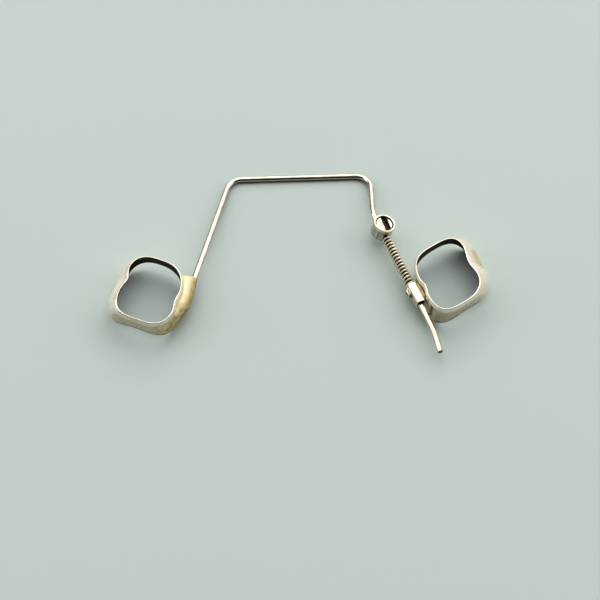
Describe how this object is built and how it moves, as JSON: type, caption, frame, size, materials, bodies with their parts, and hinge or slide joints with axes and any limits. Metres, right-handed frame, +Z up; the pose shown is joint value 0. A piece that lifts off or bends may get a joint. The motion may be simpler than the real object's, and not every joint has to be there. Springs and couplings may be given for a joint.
{
  "type": "orthodontic lingual arch",
  "caption": "Lingual arch with molar bands, a bent round wire, a screw stop and an open coil spring that pushes a sheathed band along the wire to regain space.",
  "frame": {"origin": "on the floor under the middle of the whole appliance", "axes": "+Z up towards the chewing side, +Y towards the front of the mouth, +X towards the right band seen from above and behind"},
  "size_m": [0.0556, 0.0322, 0.0042],
  "materials": {
    "band_steel": "thin rolled stainless strip, warm polished skin",
    "wire_steel": "bright drawn stainless wire",
    "spring_steel": "fine bright coiled wire",
    "turned_steel": "turned stainless with fine tool marks",
    "sheath_steel": "drawn tube, polished",
    "solder_alloy": "pale gold hard solder, lumpy and heat stained"
  },
  "bodies": {
    "arch": {"arch_wire": "wire_steel", "left_molar_band": "band_steel", "left_solder_joint": "solder_alloy"},
    "stop": {"stop_collar": "turned_steel", "open_coil_spring": "spring_steel"},
    "set_screw": {"stop_set_screw": "turned_steel"},
    "right_molar": {"right_molar_band": "band_steel", "lingual_sheath": "sheath_steel", "sheath_weld_flange": "sheath_steel", "sheath_solder_seam": "solder_alloy"}
  },
  "joints": [
    {"name": "stop_slide", "type": "slide", "parent": "arch", "child": "stop", "axis": [0.3778, -0.9259, 0], "range_m": [-0.0012, 0.001]},
    {"name": "set_screw_turn", "type": "hinge", "parent": "stop", "child": "set_screw", "pos_m": [0.01227, 0.00464, 0.002], "axis": [0.224, 0.0914, 0.9703], "range_deg": [0, 180]},
    {"name": "band_slide", "type": "slide", "parent": "stop", "child": "right_molar", "axis": [0.3778, -0.9259, 0], "range_m": [-0.003, 0.0014], "stiffness_N_per_m": 150, "deforming": ["open_coil_spring"]}
  ]
}
